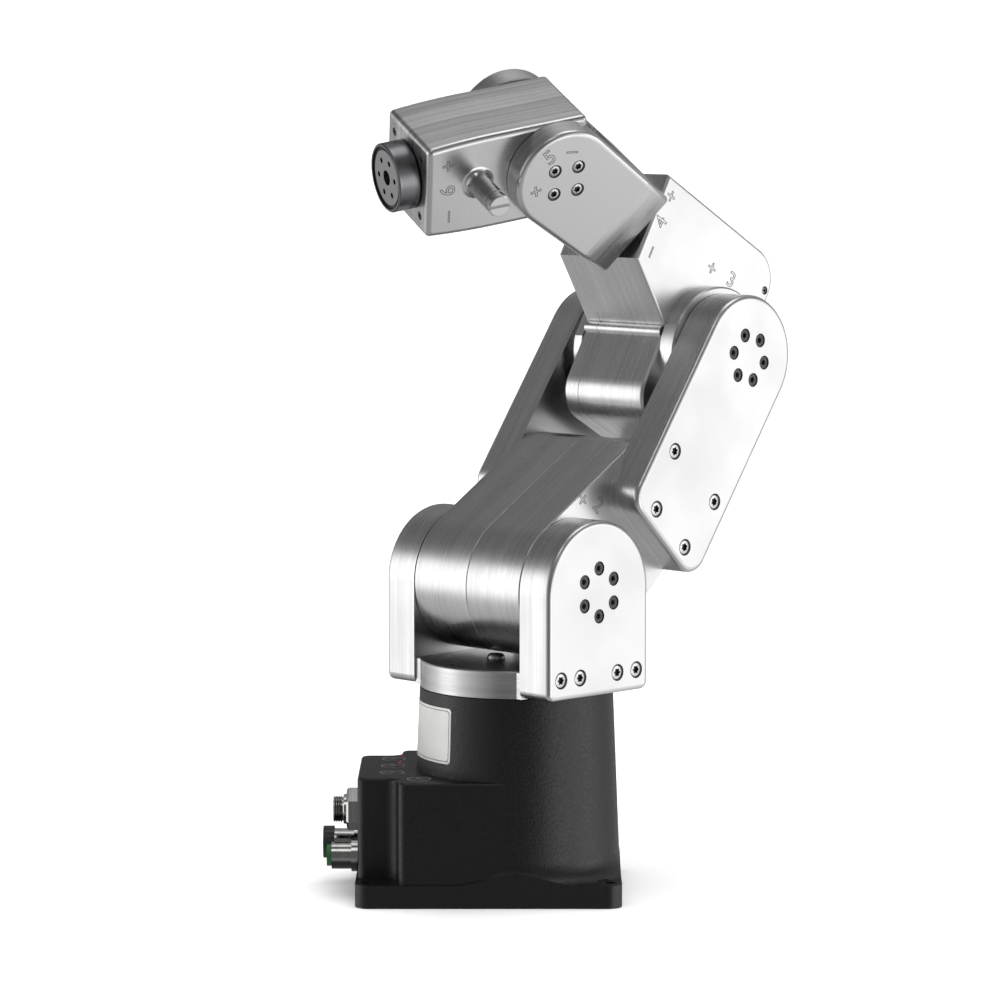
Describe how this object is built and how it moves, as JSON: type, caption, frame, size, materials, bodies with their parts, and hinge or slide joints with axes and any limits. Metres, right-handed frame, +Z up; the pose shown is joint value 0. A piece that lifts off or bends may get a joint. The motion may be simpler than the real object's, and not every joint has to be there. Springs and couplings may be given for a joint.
{
  "type": "robot arm",
  "caption": "Compact six-axis desktop robot arm on a black cast base, with flat bright metal links, a forked wrist and a small tool flange.",
  "frame": {"origin": "bottom of the foot under the first axis", "axes": "+Z up along the first axis; the connectors on the box point to -X; the arm is stored bent as in the picture"},
  "size_m": [0.2062, 0.1771, 0.357],
  "materials": {
    "cast_paint": "cast aluminium housing under a fine textured black paint",
    "cover_metal": "plain sheet",
    "arm_aluminium": "fine-milled and clear anodised",
    "turned_steel": "turned",
    "dark_steel": "turned, dark",
    "black_screws": "black oxide",
    "drive_metal": "machined drive units",
    "nickel": "nickel plate",
    "black_plastic": "moulded",
    "green_seal": "moulded ring",
    "button_rubber": "matt keys",
    "lamp_lens": "clear lens",
    "green_board": "circuit board"
  },
  "bodies": {
    "base": {"base_casting": "cast_paint", "base_bottom_cover": "cover_metal", "bottom_cover_screws": "black_screws", "controller_board": "green_board", "base_drive": "drive_metal", "panel_lamps": "lamp_lens", "power_connector_nut": "nickel", "power_connector_shell": "nickel", "power_connector_insert": "black_plastic", "right_network_shell": "nickel", "right_network_insert": "black_plastic", "left_network_shell": "nickel", "left_network_insert": "black_plastic", "right_network_seal": "green_seal", "left_network_cap": "black_plastic"},
    "shoulder": {"turntable": "arm_aluminium", "turntable_spindle": "turned_steel", "turntable_stop": "turned_steel", "right_shoulder_plate": "arm_aluminium", "left_shoulder_plate": "arm_aluminium", "right_shoulder_stub": "turned_steel", "left_shoulder_stub": "turned_steel", "shoulder_plate_screws": "black_screws", "shoulder_stub_screws": "black_screws"},
    "upper_arm": {"right_upper_arm_half": "arm_aluminium", "left_upper_arm_half": "arm_aluminium", "shoulder_drive": "drive_metal", "right_arm_plate": "arm_aluminium", "left_arm_plate": "arm_aluminium", "arm_plate_screws": "black_screws", "right_elbow_stub": "turned_steel", "left_elbow_stub": "turned_steel", "elbow_stub_screws": "black_screws"},
    "forearm": {"forearm_housing": "arm_aluminium", "forearm_cover": "arm_aluminium", "elbow_drive": "drive_metal", "forearm_side_screws": "black_screws", "roll_drive": "drive_metal", "roll_collar": "dark_steel"},
    "yoke": {"wrist_yoke": "arm_aluminium", "wrist_roll_shaft": "turned_steel", "right_wrist_stub": "turned_steel", "left_wrist_stub": "turned_steel", "wrist_stub_screws": "black_screws"},
    "wrist": {"wrist_box": "arm_aluminium", "wrist_box_cover": "arm_aluminium", "wrist_box_screws": "black_screws", "wrist_drive": "drive_metal", "tool_drive": "drive_metal", "tool_port_post": "turned_steel", "tool_port_plug": "turned_steel"},
    "tool": {"tool_flange": "dark_steel", "tool_face_plate": "turned_steel"},
    "button_1": {"panel_button_1": "button_rubber"},
    "button_2": {"panel_button_2": "button_rubber"},
    "button_3": {"panel_button_3": "button_rubber"},
    "button_4": {"panel_button_4": "button_rubber"}
  },
  "joints": [
    {"name": "base_turn", "type": "hinge", "parent": "base", "child": "shoulder", "pos_m": [0, 0, 0.135], "axis": [0, 0, 1], "range_deg": [-40, 310]},
    {"name": "shoulder_bend", "type": "hinge", "parent": "shoulder", "child": "upper_arm", "pos_m": [0, 0, 0.135], "axis": [0.7071, -0.7071, 0], "range_deg": [-25, 135]},
    {"name": "elbow_bend", "type": "hinge", "parent": "upper_arm", "child": "forearm", "pos_m": [0.0675, 0.0675, 0.23046], "axis": [-0.7071, 0.7071, 0], "range_deg": [-55, 150]},
    {"name": "wrist_roll", "type": "hinge", "parent": "forearm", "child": "yoke", "pos_m": [0.00745, 0.00745, 0.32337], "axis": [-0.6124, -0.6124, 0.5], "range_deg": [-140, 200]},
    {"name": "wrist_bend", "type": "hinge", "parent": "yoke", "child": "wrist", "pos_m": [0.00745, 0.00745, 0.32337], "axis": [-0.4356, 0.7891, 0.433], "range_deg": [-70, 160]},
    {"name": "tool_turn", "type": "hinge", "parent": "wrist", "child": "tool", "pos_m": [-0.05597, -0.02072, 0.31091], "axis": [-0.8995, -0.3995, -0.1768], "continuous": true},
    {"name": "button_1_press", "type": "slide", "parent": "base", "child": "button_1", "axis": [0, 0, -1], "range_m": [0, 0.0006], "stiffness_N_per_m": 500, "springref_m": -0.001},
    {"name": "button_2_press", "type": "slide", "parent": "base", "child": "button_2", "axis": [0, 0, -1], "range_m": [0, 0.0006], "stiffness_N_per_m": 500, "springref_m": -0.001},
    {"name": "button_3_press", "type": "slide", "parent": "base", "child": "button_3", "axis": [0, 0, -1], "range_m": [0, 0.0006], "stiffness_N_per_m": 500, "springref_m": -0.001},
    {"name": "button_4_press", "type": "slide", "parent": "base", "child": "button_4", "axis": [0, 0, -1], "range_m": [0, 0.0006], "stiffness_N_per_m": 500, "springref_m": -0.001}
  ]
}
